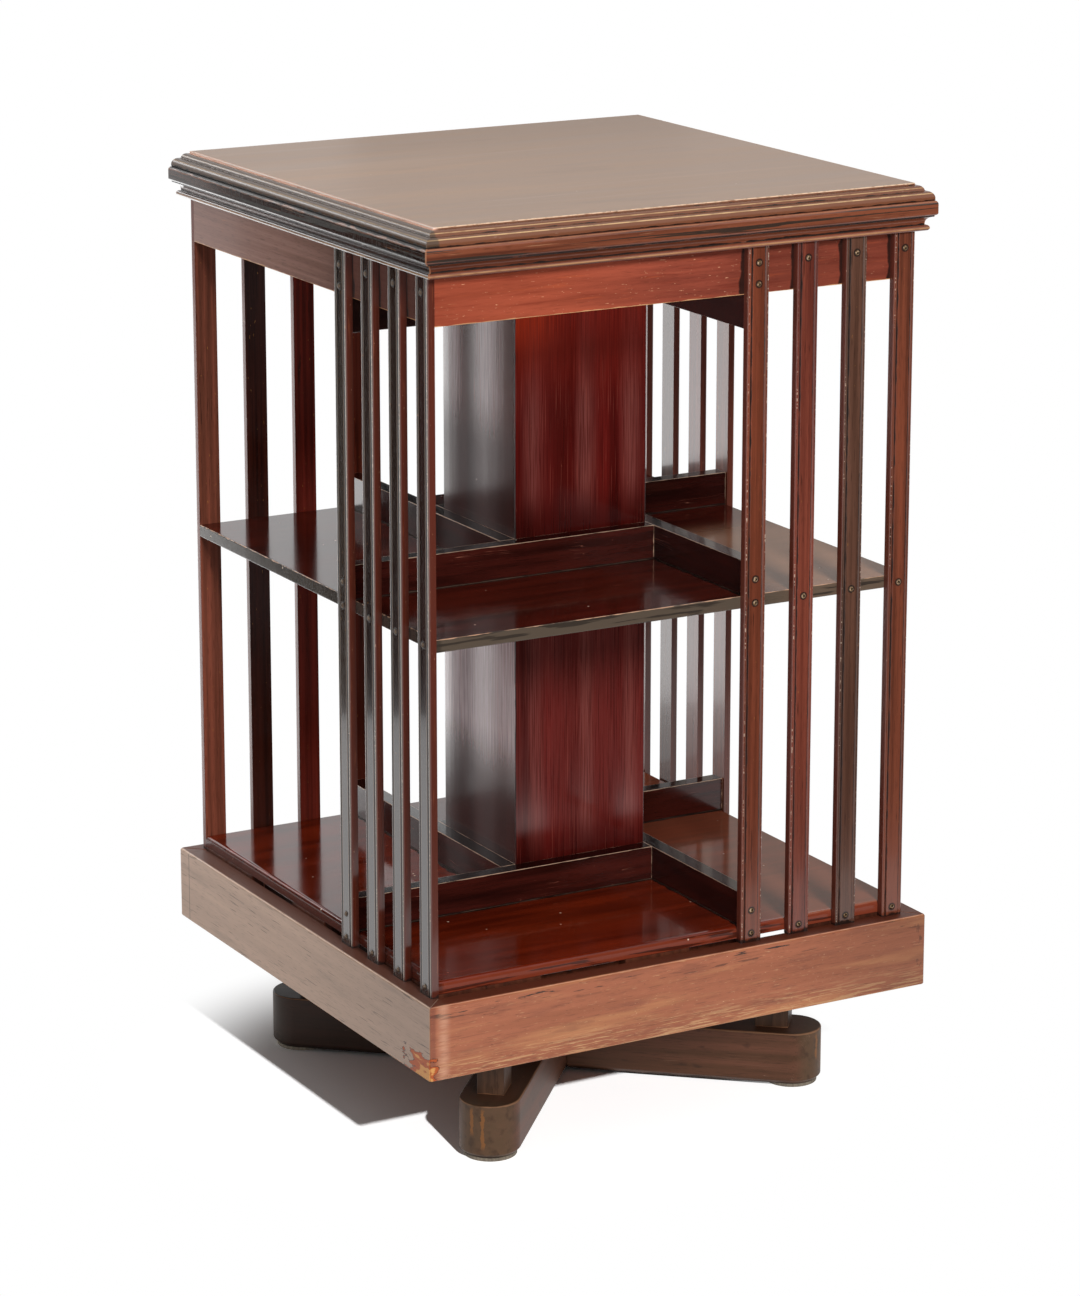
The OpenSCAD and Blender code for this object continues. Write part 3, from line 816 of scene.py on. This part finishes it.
def frieze_wood(side):
    """A streaked board with nicks, painted shade under the cornice and by the slats, and a worn arris."""
    board = AgedBoard(f"frieze_{side}", side_grain(side))
    light, dark = FRIEZE_STAINS.get(side, ("#ac543f", "#843e30"))
    if side == "left":
        board.stain(light, dark, contrast=0.6, streak=0.0025)
        # Painted shade: darker towards the front end.
        board.lay("#2e1a16", board.y.rise(0.1, -0.2) * 0.65)
    else:
        board.stain(light, dark, contrast=0.9, length=0.09)
        board.lay("#d0603a", board.rightward(side).rise(0.02, -0.15) * 0.25)
        board.marks("#7a2c1e", 0.08, 0.004, 0.56, 0.4, soft=0.12, detail=5.0)
        board.marks("#cc6038", 0.06, 0.003, 0.58, 0.3, soft=0.12, detail=5.0)
        board.marks("#f0b088", 0.006, 0.0010, 0.68, 0.8)
    board.marks("#f0c8a8", 0.004, 0.0009, 0.73, 0.8)
    board.scratch("#d08a62", 0.5)
    board.lay("#5e2c22", board.rightward(side).rise(0.03, 0.08) * 0.45)
    # Painted shade under the cornice and beside each slat.
    board.grime_and_shade(UNDER_CORNICE - board.z, 0.003)
    board.grime_and_shade(beside_slats(board, side), 0.0045, 0.9, grain=0.06)
    board.rub("#d8a070", 0.0009, 0.9, board.up().most(board.inward), grain=0.012)
    board.finish(0.22, *FRIEZE_POLISH.get(side, (0.1, 1.4)))


def dark_rail_wood(name, side):
    """Almost black wood with a little wear."""
    board = AgedBoard(name, side_grain(side))
    board.stain("#36150f", "#190a08")
    board.rub("#7c4a34", 0.0008, 0.6)
    board.finish(0.25, coat=0.5)


for side in SIDE_AXES:
    frieze_wood(side)
    dark_rail_wood(f"top_rail_{side}", side)

# %% [markdown]
# ## The slats
# Each slat is a flat lath with a bead and a groove along both edges, and no two slats took the stain
# alike: one is redder, the next more olive. The grooves are full of old polish, the crests of the
# beads are rubbed in short bright lengths, and a dark ring lies round every pin head. On the left
# slats a painted highlight runs along each crest and shoulder. All of that is told by two numbers:
# how far a point is from the middle line of the slat, and its height. So one function finishes all
# sixteen, and a table gives each its own stain.

# %% Slats
GROOVE_PLACE = 0.00635
BEAD_SHOULDER = 0.0011
CREST_PLACE = 0.0091
SLAT_HALF = 0.01025
PIN_HALO = 0.0040
FRONT_STAINS = (
    ("#944c34", "#6c3624"), ("#8a4534", "#642e24"), ("#765040", "#53372b"), ("#884832", "#5e3224"),
)
BACK_STAINS = (
    ("#7c3626", "#461c14"), ("#943426", "#5c1e16"), ("#4a2016", "#240e0a"), ("#9a5440", "#66392b"),
)
LEFT_STAINS = (
    ("#3c2a1c", "#20130c"), ("#3c241a", "#20120d"), ("#382014", "#1c0e08"), ("#3c221c", "#20100d"),
)
STAINS_BY_SIDE = {"front": FRONT_STAINS, "right": FRONT_STAINS, "back": BACK_STAINS, "left": LEFT_STAINS}
SLAT_POLISH = {"left": (0.9, 1.5), "back": (0.1, 1.36)}
FRIEZE_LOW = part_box("frieze_front")[0][2]


def middle_height(name):
    """The height of the middle of a piece."""
    low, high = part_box(name)
    return (low[2] + high[2]) / 2


PIN_HEIGHTS = [middle_height(f"{level}_shelf") for level in ("bottom", "middle")] + [FRIEZE_LOW + 0.027]
INNER_PIN_HEIGHTS = [middle_height(f"{level}_curb_front") for level in ("bottom", "middle")]
INNER_PIN_HEIGHTS += [FRIEZE_LOW + 0.009]


def slat_wood(side, n):
    """A beaded lath: dark grooves, rubbed crests, a painted highlight on the left, redder cheeks and a
    ring round each pin.
    """
    board = AgedBoard(f"slat_{side}_{n}", "Z")
    axis = SIDE_AXES[side]
    offset = abs(board.place[axis] - (board.low[axis] + board.high[axis]) / 2)
    face = board.inward.rise(0.0022, 0.0018)
    light, dark = STAINS_BY_SIDE[side][n - 1]
    board.stain(light, dark, contrast=1.1, streak=0.004)
    board.marks("#c8863f", 0.006, 0.002, 0.70, 0.5)
    board.marks("#241612", 0.05, 0.003, 0.64, 0.6)
    cheek = offset.rise(SLAT_HALF - 0.0006, SLAT_HALF - 0.0002)
    board.lay("#662c1e" if side == "left" else "#74382a", cheek * 0.85, rough=0.1)
    board.marks("#a85c3c", 0.05, 0.0012, 0.64, cheek * 0.6)
    board.marks("#e0b090", 0.004, 0.0012, 0.70, cheek * 0.8)
    board.grime_and_shade(abs(offset - GROOVE_PLACE), 0.0007, face * 0.95, "#120a08", grain=0.012)
    crest = abs(offset - CREST_PLACE).rise(0.0006, 0.0002) * face
    # Painted highlight along the crest and shoulder of each bead on the left slats.
    if side == "left":
        board.lay("#dccab8", crest * 0.6)
        shoulder = abs(offset - GROOVE_PLACE + BEAD_SHOULDER).rise(0.0005, 0.0002)
        board.lay("#c8b4a2", shoulder * face * 0.5)
    some = board.noise(0.12, 0.02, 1.0, shift=91.0).rise(0.40, 0.50)
    board.marks("#dcc0a8", 0.0020, 0.003, 0.56, crest * some * 0.8, rough=0.1, detail=4.0)
    board.lay("#3a1c14", board.z.rise(0.62, 0.25) * 0.3)
    for height in PIN_HEIGHTS + (INNER_PIN_HEIGHTS if n == 1 else []):
        ring = straight(offset, board.z - height)
        board.lay("#120c09", ring.rise(PIN_HALO, PIN_HALO * 0.75) * face * 0.85, rough=0.3)
    board.grime_and_shade(board.up(), 0.004, 0.9)
    board.finish(0.2, *SLAT_POLISH.get(side, (0.35, 1.5)))


for side in SIDE_AXES:
    for n in SLAT_NUMBERS:
        slat_wood(side, n)

# %% [markdown]
# ## The pins
# Small domed pins hold the slats. They were lacquered with the wood and then rubbed by dusters, so
# the metal shows only on the crown and the rim stays brown. They share one node, so the crown is
# found from the dome itself: it is what stands furthest out from the case. On the left side the
# brown also covers most of the crown, as painted shade. The bearing in the middle gets the same
# clouded metal without the lacquer.

# %% Aged brass and steel
PIN_CROWN = (0.2342, 0.2348)
LEFT_PINS = (0.21, 0.22)


def metal(name, light, dark, roughness, spot, crown=None):
    """Aged metal: a metallic colour that clouds over, with a lacquered rim where a crown is given."""
    board = AgedBoard(name, "Z")
    clouds = board.noise(spot, spot, 4.0)
    board.tone = board.tree.mix(clouds.rise(0.4, 0.62), colour(dark), colour(light))
    board.rough = clouds * 0.2
    board.height = clouds * 1e-5
    bright = clouds.rise(0.2, 0.4)
    if crown:
        # On the left side most of the crown stays lacquer brown: painted shade.
        bright = board.out.rise(*crown) * (1 - (board.x * -1.0).rise(*LEFT_PINS) * 0.75)
        board.lay("#2c1c12", 1 - bright, rough=0.1)
    board.finish(roughness, metallic=bright)


metal("slat_pins", "#bca184", "#6b5236", 0.22, spot=0.002, crown=PIN_CROWN)
metal("pivot_cup", "#a8803c", "#6e5126", 0.25, spot=0.006)
metal("lower_collar", "#a8803c", "#6e5126", 0.25, spot=0.008)
metal("collar_screws", "#a0763a", "#5e4422", 0.3, spot=0.003)
metal("pivot_pin", "#8a8a8c", "#57575a", 0.2, spot=0.005)

# %% [markdown]
# ## The shelves
# The shelves were French polished: thin shellac rubbed on until the surface is a mirror. A low
# roughness alone would make them look like plastic, so the wood stays soft and a thin clear coat
# over it does the mirroring. Towards the right a pale painted sheen lies over the red. A black line
# runs along the book stops. The outer edges differ: the middle shelf's is scuffed to an olive grey,
# the bottom shelf's is a worn red brown, and at the left end both are darker as painted shade.

# %% Shelves
RIM_REACH = 0.225


def box_distance(board, name):
    """How far a point lies in plan from the box of another piece."""
    return straight(*(board.outside(name, axis).most(0.0) for axis in range(2)))


def shelf_wood(level, light, dark, painted_sheen, sheen_share, behind, edge, edge_dark):
    """Red brown mirror polish with a painted sheen towards the right, over an edge of another colour."""
    board = AgedBoard(f"{level}_shelf", "X")
    board.stain(light, dark, contrast=0.9, streak=0.014, pores=0.25, length=0.12)
    board.marks(dark, 0.02, 0.012, 0.63, 0.6, soft=0.12)
    in_front = 1 - board.y.rise(-0.05, 0.02) * behind
    # Painted sheen: a pale tint towards the right end, with less of it towards the back.
    board.lay(painted_sheen, board.x.rise(0.08, 0.13) * in_front * sheen_share, rough=0.04)
    board.marks("#b0522c", 0.01, 0.0015, 0.72, 0.5)
    board.height = board.height + board.noise(0.03, 0.006, 2.0, shift=41.0) * 5e-5
    board.scratch("#c07050", 0.5, spread=0.62)
    stops = nearest(box_distance(board, f"{level}_curb_{side}") for side in SIDE_AXES)
    board.grime_and_shade(stops, 0.0035, 0.95, "#0c0604")
    rim = board.outer_face()
    board.lay(edge, rim * 0.9, rough=0.15)
    board.marks(edge_dark, 0.06, 0.003, 0.54, rim * 0.9)
    # Painted shade: the left end of the edge is darker.
    shaded_left_rim = rim * (board.x + RIM_REACH).rise(0.004, 0.0)
    board.lay(edge_dark, shaded_left_rim * 0.7, rough=-0.1)
    board.rub("#d8a888", 0.0008, 0.85, board.inward.most(board.down()), grain=0.015)
    board.dust("#f0d8c0", 0.9, cell=0.016, size=0.0012)
    board.finish(0.13, coat=0.2, ior=1.38, coat_roughness=0.05)


shelf_wood("middle", "#5c1e12", "#36100a", "#e0a880", 0.5, 1.0, "#5c5145", "#38302a")
shelf_wood("bottom", "#7c260c", "#501404", "#cc8a6a", 0.3, 0.2, "#7e3622", "#40180e")

# %% [markdown]
# ## The book stops
# Narrow rails on edge keep the books of one side from sliding through to the next. They are stained
# almost black. Books have rubbed a thin bright line along each top arris and left long scratches.
# The rounded arris alone would shine only where a lamp happens to strike it. The worn wood laid
# along it shows from every side.

# %% Book stops
def stop_wood(name, side):
    """Black brown wood with scratches and a bright rubbed arris."""
    board = AgedBoard(name, side_grain(side))
    board.stain("#451812", "#1e0907", streak=0.010, length=0.12)
    top_face = board.z.rise(board.high[2] - 0.0010, board.high[2] - 0.0004)
    board.lay("#0b0605", top_face * 0.85, rough=-0.05)
    board.scratch("#b0705c", 0.7, spread=0.6)
    board.marks("#c08070", 0.01, 0.0015, 0.74, 0.6)
    board.rub("#d8b498", 0.0007, 0.75, grain=0.02)
    board.grime_and_shade(board.up(), 0.002)
    board.dust("#cfc0b0", 0.8, cell=0.03, size=0.0012)
    board.finish(0.2, coat=0.3, ior=1.42)


for side in SIDE_AXES:
    for level in ("middle", "bottom"):
        stop_wood(f"{level}_curb_{side}", side)

# %% [markdown]
# ## The column
# The hollow column in the middle is the reddest and glossiest part, because nothing ever touched it.
# Upright bands of painted reflection lie on it, and the left board shows mostly what it mirrors.
# So it gets wide soft painted reflections, a high gloss and a slight waviness. Behind the book
# stops, at the foot of each tier, the painted reflections stop and painted shade keeps the wood
# dark. Near the top of the front board, in the shadow of the top, painted light makes the red
# brighter and orange at the left. A lamp could draw the bands as well, but they would slide over
# the wood as the case turns.

# %% Column
# A painted reflection has a tint, its share of the wood, and how much of it lies between the bands
# low down.
# A band has its place to the right of the middle line, half its width and its strength.
# A tier's foot is how far above its lower end the painted reflections begin, and how far above it
# they are whole.
COLUMN_STAINS = {"left": ("#6a3a36", "#3c1c18")}
COLUMN_PAINTED_REFLECTIONS = {"left": ("#c4a6aa", 0.75, 1.0)}
COLUMN_POLISH = {"left": (1.0, 1.7)}
PAINTED_REFLECTION_BANDS = {"left": ((-0.020, 0.034, 1.0), (0.044, 0.022, 0.7))}
FRONT_REFLECTION_BANDS = ((-0.045, 0.014, 0.8), (0.005, 0.014, 1.0), (0.051, 0.016, 1.0))
TIER_FEET = {"left": (0.065, 0.125)}
LOW_TIER = 0.207
LOW_TIER_END = (0.462, 0.466)
HIGH_TIER = 0.507


def column_wood(side):
    """Deep red glossy wood, painted reflections in upright bands and painted shade at each tier's foot.
    """
    board = AgedBoard(f"column_{side}", "Z")
    light, dark = COLUMN_STAINS.get(side, ("#6c1814", "#420d0a"))
    reflection_tint, reflection_share, low_reflection = COLUMN_PAINTED_REFLECTIONS.get(side, ("#8a4c46", 0.7, 0.3))
    board.stain(light, dark, contrast=0.7, streak=0.030, pores=0.0, length=0.5)
    board.marks("#300404", 0.50, 0.022, 0.52, 0.75, soft=0.2)
    sideways = board.rightward(side) + (board.noise(0.9, 0.05, 2.0, shift=71.0) - 0.5) * 0.02
    # Painted reflection in soft upright bands.
    painted_reflection = sum(
        abs(sideways * (-1.0 if side == "left" else 1.0) - middle).rise(half, 0.0) * share
        for middle, half, share in PAINTED_REFLECTION_BANDS.get(side, FRONT_REFLECTION_BANDS)
    )
    fibres = board.noise(0.05, 0.0010, 3.0, shift=73.0).rise(0.30, 0.70) * 0.5 + 0.5
    foot, clear = TIER_FEET.get(side, (0.0, 0.05))
    low_tier = board.z.rise(LOW_TIER + foot, LOW_TIER + clear) * (1 - board.z.rise(*LOW_TIER_END))
    tier = low_tier + board.z.rise(HIGH_TIER + foot, HIGH_TIER + clear)
    painted_reflection = painted_reflection.most(low_tier * low_reflection)
    board.lay(reflection_tint, painted_reflection * fibres * tier * reflection_share, rough=0.05)
    board.marks("#3c0806", 0.06, 0.0012, 0.50, 0.5, soft=0.14)
    board.marks("#9c4c40", 0.08, 0.0010, 0.60, 0.3)
    board.marks("#c07058", 0.012, 0.0012, 0.73, 0.5)
    if side == "front":
        # Painted light: the upper front, which the top board shades, is made brighter red and orange at
        # the left.
        board.lay("#e04030", board.z.rise(0.61, 0.72) * fibres * 0.7)
        board.lay("#f04a20", board.x.rise(-0.01, -0.050) * board.z.rise(0.64, 0.71) * fibres * 0.8)
    board.height = board.noise(0.6, 0.02, 2.0, shift=75.0) * 1e-4
    # Painted shade at the foot of each tier.
    board.lay("#140605", (1 - tier) * 0.55)
    board.grime_and_shade(board.inside(0).most(board.inside(1)), 0.0012, 0.9)
    board.dust("#d8c4b4", 0.8, cell=0.03, size=0.0007)
    coat, ior = COLUMN_POLISH.get(side, (0.45, 1.5))
    board.finish(0.16, tier * coat, ior, coat_roughness=0.1)


for side in SIDE_AXES:
    column_wood(side)

# %% [markdown]
# ## The plinth
# The plinth takes every shoe and vacuum cleaner, so it has lost nearly all of its polish. Its front
# is a dry salmon brown. Black scabs of old varnish hang on along the upper edge, golden fibres show
# along the lower edge, and a pale strip stands beside the corner where the end grain dried out. The
# left board is greyer and has fine cracks, and its bottom corner is broken to bright orange wood.
# Each kind of damage is a layer with its own mask: the height above the lower edge, the depth below
# the upper one or the distance from a corner. So it stays where feet and brooms really reach.

# %% Plinth
PLINTH_STAINS = {"left": ("#c6a28a", "#b08e76")}
PLINTH_LINES = {"left": "#f0d4b8"}
CORNER_REACH = 0.245
CRACK_DEPTH = 6e-5
FIBRE_DEPTH = 4e-5
SCAB_HEIGHT = 3e-5
JOINT_PLACE = 0.226
DRY_STRIP = 0.013
DARK_STRIP = 0.003
FAR_END = (0.475, 0.485)
CHIP_SIZE = 0.022


def plinth_left_face(board):
    """Greyer wood with fine cracks, and the open joint near its far end."""
    board.marks("#3a2a20", 0.030, 0.0012, 0.70, 0.7, rough=0.1, sink=CRACK_DEPTH, detail=1.0, soft=0.03)
    board.marks("#77604e", 0.10, 0.012, 0.57, 0.35, soft=0.15)
    board.lay("#5a4234", board.y.rise(0.05, -0.24) * 0.3)
    low_end = board.y.rise(-0.1, -0.2) * board.up().rise(0.030, 0.012)
    board.marks("#30241c", 0.022, 0.0016, 0.66, low_end * 0.9)
    joint = abs(board.y - JOINT_PLACE).rise(0.0008, 0.0002)
    board.lay("#2a1e18", joint * 0.8, rough=0.1, sink=CRACK_DEPTH)


def plinth_front_face(board, side):
    """Salmon wood with golden fibres, black scabs and the pale strip at the corner."""
    board.marks("#c88a5c", 0.20, 0.016, 0.52, 0.5, soft=0.15)
    board.marks("#7a4432", 0.06, 0.01, 0.56, 0.4, soft=0.14)
    fibres = board.up().rise(0.026, 0.004)
    torn = {"rough": 0.1, "sink": FIBRE_DEPTH, "detail": 5.0}
    board.marks("#d8ac7c", 0.030, 0.0014, 0.53, fibres * 0.5, **torn)
    board.marks("#dcb07c", 0.012, 0.0009, 0.55, fibres * 0.45, **torn, soft=0.14)
    board.marks("#d8ac80", 0.012, 0.0012, 0.64, 0.4)
    scab = {"rough": 0.2, "sink": -SCAB_HEIGHT, "detail": 5.0, "soft": 0.02}
    face = board.outer_face()
    board.marks("#2a2320", 0.04, 0.0035, 0.62, board.down().rise(0.020, 0.004) * face * 0.95, **scab)
    board.marks("#2e2522", 0.04, 0.0035, 0.73, face * 0.9, **scab)
    end = board.rightward(side) + CORNER_REACH
    rungs = board.noise(0.012, 0.0016, 4.0, shift=83.0).rise(0.30, 0.70) * 0.6 + 0.4
    board.lay("#dba688", abs(end - DRY_STRIP).rise(0.008, 0.0) * rungs * 0.6)
    board.lay("#7a3e2c", abs(end - DARK_STRIP).rise(0.004, 0.001) * 0.6)
    board.marks("#3a2016", 0.006, 0.012, 0.60, end.rise(*FAR_END) * 0.6)
    board.marks("#f0cca4", 0.003, 0.0010, 0.68, 0.5)
    board.marks("#5c3020", 0.004, 0.0010, 0.68, 0.5)
    board.lay("#5a3422", board.rightward(side).rise(0.08, 0.24) * 0.4)


def broken_corner(board):
    """The chip at the bottom corner between front and left: a dark rim round bright splinters."""
    along_front = (board.x + CORNER_REACH) * 3.0
    along_left = (board.y + CORNER_REACH) * 0.5
    corner = along_front.most(along_left).most(board.up() * 1.1)
    chip = (board.noise(0.014, 0.006, 3.0, shift=57.0) * 2.4 - 0.3) * CHIP_SIZE - corner
    board.lay("#1a100c", chip.rise(-0.0010, 0.0005) * 0.9, rough=0.2, sink=1e-4)
    board.lay("#b4562a", chip.rise(0.0005, 0.0020) * 0.95, rough=0.1, sink=3e-4)
    board.lay("#dca05c", chip.rise(0.0075, 0.0120) * 0.9)


def plinth_wood(side):
    """A dry board with the damage of its side, a dark top edge, worn arrises and the chip."""
    board = AgedBoard(f"plinth_{side}", side_grain(side))
    light, dark = PLINTH_STAINS.get(side, ("#b0694b", "#965639"))
    board.stain(light, dark, contrast=0.7, streak=0.008)
    if side == "left":
        plinth_left_face(board)
    else:
        plinth_front_face(board, side)
    board.lay("#4e2012", board.inward.rise(0.001, 0.002) * board.top_face() * 0.9, rough=0.15)
    upper_arris = board.inward.most(board.down())
    board.line(PLINTH_LINES.get(side, "#dca888"), upper_arris, 0.0011, 0.8, grain=0.008)
    board.rub("#c98a5c", 0.0012, 0.8, board.inward.most(board.up()), grain=0.015)
    broken_corner(board)
    board.finish(0.40, coat=0.2, ior=1.45, coat_roughness=0.25)


for side in SIDE_AXES:
    plinth_wood(side)

# %% [markdown]
# ## The stand
# Two beams halved over each other make the cross. They are stained a cool dark brown, stay in the
# shadow of the case and are scuffed at the rounded ends. A box can't say where a round end is worn,
# but the distance to the outline of a beam in plan, a long bar with round ends, can. The post, the
# blocks and the bearer are plain dull wood, and felt pads keep the beams off the floor.

# %% Beams
# A streak has its place across the beam and the height at which it ends.
BEAM_HALF = 0.0265
BEAM_REACH = 0.252
STREAK_TOP = (0.044, 0.050)
STREAKS = ((0.011, 0.022), (0.001, 0.010))
beam_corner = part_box("foot_beam_lower")[1]
beam_turn = math.atan2(beam_corner[1] - BEAM_HALF, beam_corner[0] - BEAM_HALF)
BEAM_TURNS = {"foot_beam_lower": beam_turn, "foot_beam_upper": beam_turn + math.pi / 2}


def beam_wood(name):
    """Cool dark brown wood with scuffed round ends, pale runs down them and a worn outline."""
    board = AgedBoard(name, "X", BEAM_TURNS[name])
    board.stain("#6a4434", "#48301f", contrast=0.8, streak=0.008)
    board.marks("#2a1c16", 0.03, 0.012, 0.62, 0.5, soft=0.1)
    past_end = (abs(board.x) - (BEAM_REACH - BEAM_HALF)).most(0.0)
    outline = BEAM_HALF - straight(past_end, board.y)
    end = past_end.rise(0.006, 0.018)
    board.lay("#5a4634", end * 0.7)
    board.marks("#35251b", 0.007, 0.009, 0.50, end * 0.6, soft=0.2, detail=5.0)
    for place, low in STREAKS:
        height = board.z.rise(low, low + 0.006) * (1 - board.z.rise(*STREAK_TOP))
        run = height * past_end.rise(0.008, 0.012)
        board.lay("#7c5230", board.ragged(abs(board.y - place), 0.0022, run, grain=0.012))
    # Painted shade: the top faces are darker, as they lie under the case.
    board.lay("#2c1f18", board.top_face() * 0.5)
    # Painted shade: one arm of the upper beam is darker, in the shadow of the case.
    if name == "foot_beam_upper":
        board.lay("#120b08", board.x.rise(-0.02, 0.12) * 0.8)
    board.scratch("#9a7a64", 0.6)
    board.rub("#8f6a50", 0.0014, 0.7, abs(outline).most(board.down()))
    board.grime_and_shade(board.up(), 0.003, 0.7)
    board.finish(0.48, ior=1.3)


for name in BEAM_TURNS:
    beam_wood(name)
print("beam turn:", round(math.degrees(beam_turn), 1), "degrees")

# %% Post, blocks and pads
def block_wood(name, light, dark, roughness=0.45):
    """Plain dull wood, a little worn along its foot."""
    board = AgedBoard(name, "Z")
    board.stain(light, dark)
    board.marks("#241611", 0.03, 0.01, 0.6, 0.5, soft=0.1)
    board.rub("#a07050", 0.0016, 0.6, board.up())
    board.finish(roughness, ior=1.3)


def pad_felt():
    """Trodden grey felt."""
    board = AgedBoard("foot_pads", "Z")
    board.stain("#94897a", "#6c6256", streak=0.002, pores=0.0)
    board.marks("#6e6256", 0.002, 0.002, 0.60, 0.5, sink=1e-4)
    board.finish(0.9)


block_wood("runner_blocks", "#5a4030", "#38261c")
block_wood("post", "#7a5a42", "#54392a")
block_wood("pivot_block", "#8a6a4c", "#664a34", 0.6)
block_wood("bearer", "#7a5a42", "#54392a", 0.6)
block_wood("glue_blocks", "#5a3020", "#3a1c12", 0.5)
pad_felt()

# %% [markdown]
